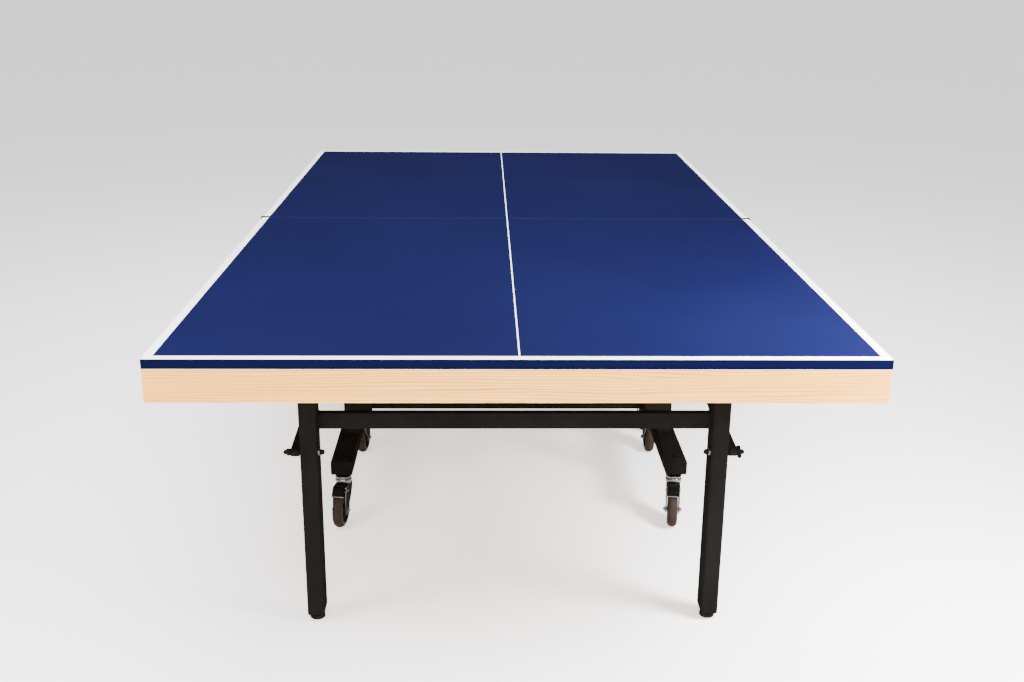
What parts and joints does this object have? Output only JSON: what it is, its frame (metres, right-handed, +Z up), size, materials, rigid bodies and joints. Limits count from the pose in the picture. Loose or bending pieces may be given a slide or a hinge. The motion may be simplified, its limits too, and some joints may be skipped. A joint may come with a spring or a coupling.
{
  "type": "ping pong table",
  "caption": "Full-size ping pong table: blue top with white lines on an ash rim and black steel legs, in two folding halves that each roll on a caster trolley.",
  "frame": {"origin": "on the floor under the middle of the table", "axes": "+X across the table, +Y along it from the front half to the back half, +Z up"},
  "size_m": [1.536, 2.74, 0.76],
  "materials": {
    "blue_lacquer": "satin blue lacquer with white border and centre lines",
    "ash_wood": "clear satin varnish over light ash grain",
    "black_steel": "fine black powder coat",
    "black_plastic": "moulded black",
    "zinc": "zinc plated and pressed",
    "brown_tread": "dark brown tread"
  },
  "bodies": {
    "front_trolley": {"front_trolley_cross_tube": "black_steel", "front_trolley_rail_right": "black_steel", "front_upright_right": "black_steel", "front_trolley_rail_left": "black_steel", "front_upright_left": "black_steel"},
    "front_panel": {"front_top_board": "blue_lacquer", "front_end_fascia": "ash_wood", "front_panel_frame": "black_steel", "front_side_apron_right": "ash_wood", "front_side_apron_left": "ash_wood"},
    "front_legs": {"front_leg_crossbar": "black_steel", "front_leg_right": "black_steel", "front_leg_left": "black_steel"},
    "front_struts": {"front_strut_right": "black_steel", "front_strut_left": "black_steel"},
    "front_foot_right": {"front_foot_right": "black_plastic"},
    "front_clamp_screw_right": {"front_clamp_screw_right": "black_steel"},
    "front_outer_right_caster_swivel": {"front_outer_right_caster_fork": "zinc"},
    "front_outer_right_caster_wheel": {"front_outer_right_caster_wheel": "brown_tread"},
    "front_outer_right_caster_brake": {"front_outer_right_caster_brake_pedal": "black_plastic"},
    "front_inner_right_caster_swivel": {"front_inner_right_caster_fork": "zinc"},
    "front_inner_right_caster_wheel": {"front_inner_right_caster_wheel": "brown_tread"},
    "front_foot_left": {"front_foot_left": "black_plastic"},
    "front_clamp_screw_left": {"front_clamp_screw_left": "black_steel"},
    "front_outer_left_caster_swivel": {"front_outer_left_caster_fork": "zinc"},
    "front_outer_left_caster_wheel": {"front_outer_left_caster_wheel": "brown_tread"},
    "front_outer_left_caster_brake": {"front_outer_left_caster_brake_pedal": "black_plastic"},
    "front_inner_left_caster_swivel": {"front_inner_left_caster_fork": "zinc"},
    "front_inner_left_caster_wheel": {"front_inner_left_caster_wheel": "brown_tread"},
    "back_trolley": {"back_trolley_cross_tube": "black_steel", "back_trolley_rail_left": "black_steel", "back_upright_left": "black_steel", "back_trolley_rail_right": "black_steel", "back_upright_right": "black_steel"},
    "back_panel": {"back_top_board": "blue_lacquer", "back_end_fascia": "ash_wood", "back_panel_frame": "black_steel", "back_side_apron_left": "ash_wood", "back_net_bracket_left": "black_plastic", "back_side_apron_right": "ash_wood", "back_net_bracket_right": "black_plastic"},
    "back_legs": {"back_leg_crossbar": "black_steel", "back_leg_left": "black_steel", "back_leg_right": "black_steel"},
    "back_struts": {"back_strut_left": "black_steel", "back_strut_right": "black_steel"},
    "back_foot_left": {"back_foot_left": "black_plastic"},
    "back_clamp_screw_left": {"back_clamp_screw_left": "black_steel"},
    "back_outer_left_caster_swivel": {"back_outer_left_caster_fork": "zinc"},
    "back_outer_left_caster_wheel": {"back_outer_left_caster_wheel": "brown_tread"},
    "back_outer_left_caster_brake": {"back_outer_left_caster_brake_pedal": "black_plastic"},
    "back_inner_left_caster_swivel": {"back_inner_left_caster_fork": "zinc"},
    "back_inner_left_caster_wheel": {"back_inner_left_caster_wheel": "brown_tread"},
    "back_foot_right": {"back_foot_right": "black_plastic"},
    "back_clamp_screw_right": {"back_clamp_screw_right": "black_steel"},
    "back_outer_right_caster_swivel": {"back_outer_right_caster_fork": "zinc"},
    "back_outer_right_caster_wheel": {"back_outer_right_caster_wheel": "brown_tread"},
    "back_outer_right_caster_brake": {"back_outer_right_caster_brake_pedal": "black_plastic"},
    "back_inner_right_caster_swivel": {"back_inner_right_caster_fork": "zinc"},
    "back_inner_right_caster_wheel": {"back_inner_right_caster_wheel": "brown_tread"}
  },
  "joints": [
    {"name": "front_panel_fold", "type": "hinge", "parent": "front_trolley", "child": "front_panel", "pos_m": [0, -0.34, 0.7265], "axis": [-1, 0, 0], "range_deg": [0, 90]},
    {"name": "front_leg_fold", "type": "hinge", "parent": "front_panel", "child": "front_legs", "pos_m": [0, -1.066, 0.678], "axis": [1, 0, 0], "range_deg": [0, 90]},
    {"name": "front_strut_fold", "type": "hinge", "parent": "front_trolley", "child": "front_struts", "pos_m": [0, -0.37, 0.4885], "axis": [-1, 0, 0], "range_deg": [0, 90]},
    {"name": "front_foot_right_height", "type": "slide", "parent": "front_legs", "child": "front_foot_right", "axis": [0, 0, -1], "range_m": [0, 0.02]},
    {"name": "front_clamp_screw_right_turn", "type": "hinge", "parent": "front_legs", "child": "front_clamp_screw_right", "pos_m": [0.476, -1.096, 0.44], "axis": [1, 0, 0], "continuous": true},
    {"name": "front_outer_right_caster_swivel_turn", "type": "hinge", "parent": "front_trolley", "child": "front_outer_right_caster_swivel", "pos_m": [0.468, -0.564, 0.1], "axis": [0, 0, 1], "continuous": true},
    {"name": "front_outer_right_caster_wheel_spin", "type": "hinge", "parent": "front_outer_right_caster_swivel", "child": "front_outer_right_caster_wheel", "pos_m": [0.46327, -0.59767, 0.05], "axis": [0.9903, -0.1392, 0], "continuous": true},
    {"name": "front_outer_right_caster_brake_press", "type": "hinge", "parent": "front_outer_right_caster_swivel", "child": "front_outer_right_caster_brake", "pos_m": [0.46382, -0.59371, 0.1085], "axis": [0.9903, -0.1392, 0], "range_deg": [0, 3]},
    {"name": "front_inner_right_caster_swivel_turn", "type": "hinge", "parent": "front_trolley", "child": "front_inner_right_caster_swivel", "pos_m": [0.468, -0.095, 0.1], "axis": [0, 0, 1], "continuous": true},
    {"name": "front_inner_right_caster_wheel_spin", "type": "hinge", "parent": "front_inner_right_caster_swivel", "child": "front_inner_right_caster_wheel", "pos_m": [0.468, -0.061, 0.05], "axis": [-1, 0, 0], "continuous": true},
    {"name": "front_foot_left_height", "type": "slide", "parent": "front_legs", "child": "front_foot_left", "axis": [0, 0, -1], "range_m": [0, 0.02]},
    {"name": "front_clamp_screw_left_turn", "type": "hinge", "parent": "front_legs", "child": "front_clamp_screw_left", "pos_m": [-0.476, -1.096, 0.44], "axis": [-1, 0, 0], "continuous": true},
    {"name": "front_outer_left_caster_swivel_turn", "type": "hinge", "parent": "front_trolley", "child": "front_outer_left_caster_swivel", "pos_m": [-0.468, -0.564, 0.1], "axis": [0, 0, 1], "continuous": true},
    {"name": "front_outer_left_caster_wheel_spin", "type": "hinge", "parent": "front_outer_left_caster_swivel", "child": "front_outer_left_caster_wheel", "pos_m": [-0.4739, -0.59748, 0.05], "axis": [0.9848, -0.1736, 0], "continuous": true},
    {"name": "front_outer_left_caster_brake_press", "type": "hinge", "parent": "front_outer_left_caster_swivel", "child": "front_outer_left_caster_brake", "pos_m": [-0.47321, -0.59354, 0.1085], "axis": [0.9848, -0.1736, 0], "range_deg": [0, 3]},
    {"name": "front_inner_left_caster_swivel_turn", "type": "hinge", "parent": "front_trolley", "child": "front_inner_left_caster_swivel", "pos_m": [-0.468, -0.095, 0.1], "axis": [0, 0, 1], "continuous": true},
    {"name": "front_inner_left_caster_wheel_spin", "type": "hinge", "parent": "front_inner_left_caster_swivel", "child": "front_inner_left_caster_wheel", "pos_m": [-0.46327, -0.06133, 0.05], "axis": [-0.9903, 0.1392, 0], "continuous": true},
    {"name": "back_trolley_roll", "type": "slide", "parent": "front_trolley", "child": "back_trolley", "axis": [0, 1, 0], "range_m": [0, 0.3]},
    {"name": "back_panel_fold", "type": "hinge", "parent": "back_trolley", "child": "back_panel", "pos_m": [0, 0.34, 0.7265], "axis": [1, 0, 0], "range_deg": [0, 90]},
    {"name": "back_leg_fold", "type": "hinge", "parent": "back_panel", "child": "back_legs", "pos_m": [0, 1.066, 0.678], "axis": [-1, 0, 0], "range_deg": [0, 90]},
    {"name": "back_strut_fold", "type": "hinge", "parent": "back_trolley", "child": "back_struts", "pos_m": [0, 0.37, 0.4885], "axis": [1, 0, 0], "range_deg": [0, 90]},
    {"name": "back_foot_left_height", "type": "slide", "parent": "back_legs", "child": "back_foot_left", "axis": [0, 0, -1], "range_m": [0, 0.02]},
    {"name": "back_clamp_screw_left_turn", "type": "hinge", "parent": "back_legs", "child": "back_clamp_screw_left", "pos_m": [-0.476, 1.096, 0.44], "axis": [-1, 0, 0], "continuous": true},
    {"name": "back_outer_left_caster_swivel_turn", "type": "hinge", "parent": "back_trolley", "child": "back_outer_left_caster_swivel", "pos_m": [-0.468, 0.564, 0.1], "axis": [0, 0, 1], "continuous": true},
    {"name": "back_outer_left_caster_wheel_spin", "type": "hinge", "parent": "back_outer_left_caster_swivel", "child": "back_outer_left_caster_wheel", "pos_m": [-0.47155, 0.59781, 0.05], "axis": [-0.9945, -0.1045, 0], "continuous": true},
    {"name": "back_outer_left_caster_brake_press", "type": "hinge", "parent": "back_outer_left_caster_swivel", "child": "back_outer_left_caster_brake", "pos_m": [-0.47114, 0.59384, 0.1085], "axis": [-0.9945, -0.1045, 0], "range_deg": [0, 3]},
    {"name": "back_inner_left_caster_swivel_turn", "type": "hinge", "parent": "back_trolley", "child": "back_inner_left_caster_swivel", "pos_m": [-0.468, 0.095, 0.1], "axis": [0, 0, 1], "continuous": true},
    {"name": "back_inner_left_caster_wheel_spin", "type": "hinge", "parent": "back_inner_left_caster_swivel", "child": "back_inner_left_caster_wheel", "pos_m": [-0.47096, 0.12887, 0.05], "axis": [-0.9962, -0.0872, 0], "continuous": true},
    {"name": "back_foot_right_height", "type": "slide", "parent": "back_legs", "child": "back_foot_right", "axis": [0, 0, -1], "range_m": [0, 0.02]},
    {"name": "back_clamp_screw_right_turn", "type": "hinge", "parent": "back_legs", "child": "back_clamp_screw_right", "pos_m": [0.476, 1.096, 0.44], "axis": [1, 0, 0], "continuous": true},
    {"name": "back_outer_right_caster_swivel_turn", "type": "hinge", "parent": "back_trolley", "child": "back_outer_right_caster_swivel", "pos_m": [0.468, 0.564, 0.1], "axis": [0, 0, 1], "continuous": true},
    {"name": "back_outer_right_caster_wheel_spin", "type": "hinge", "parent": "back_outer_right_caster_swivel", "child": "back_outer_right_caster_wheel", "pos_m": [0.46093, 0.59726, 0.05], "axis": [-0.9781, -0.2079, 0], "continuous": true},
    {"name": "back_outer_right_caster_brake_press", "type": "hinge", "parent": "back_outer_right_caster_swivel", "child": "back_outer_right_caster_brake", "pos_m": [0.46176, 0.59334, 0.1085], "axis": [-0.9781, -0.2079, 0], "range_deg": [0, 3]},
    {"name": "back_inner_right_caster_swivel_turn", "type": "hinge", "parent": "back_trolley", "child": "back_inner_right_caster_swivel", "pos_m": [0.468, 0.095, 0.1], "axis": [0, 0, 1], "continuous": true},
    {"name": "back_inner_right_caster_wheel_spin", "type": "hinge", "parent": "back_inner_right_caster_swivel", "child": "back_inner_right_caster_wheel", "pos_m": [0.47332, 0.12858, 0.05], "axis": [-0.9877, 0.1564, 0], "continuous": true}
  ],
  "couplings": [
    {"joint": "front_leg_fold", "follows": "front_panel_fold", "ratio": 1},
    {"joint": "front_strut_fold", "follows": "front_panel_fold", "ratio": 1},
    {"joint": "back_leg_fold", "follows": "back_panel_fold", "ratio": 1},
    {"joint": "back_strut_fold", "follows": "back_panel_fold", "ratio": 1}
  ]
}
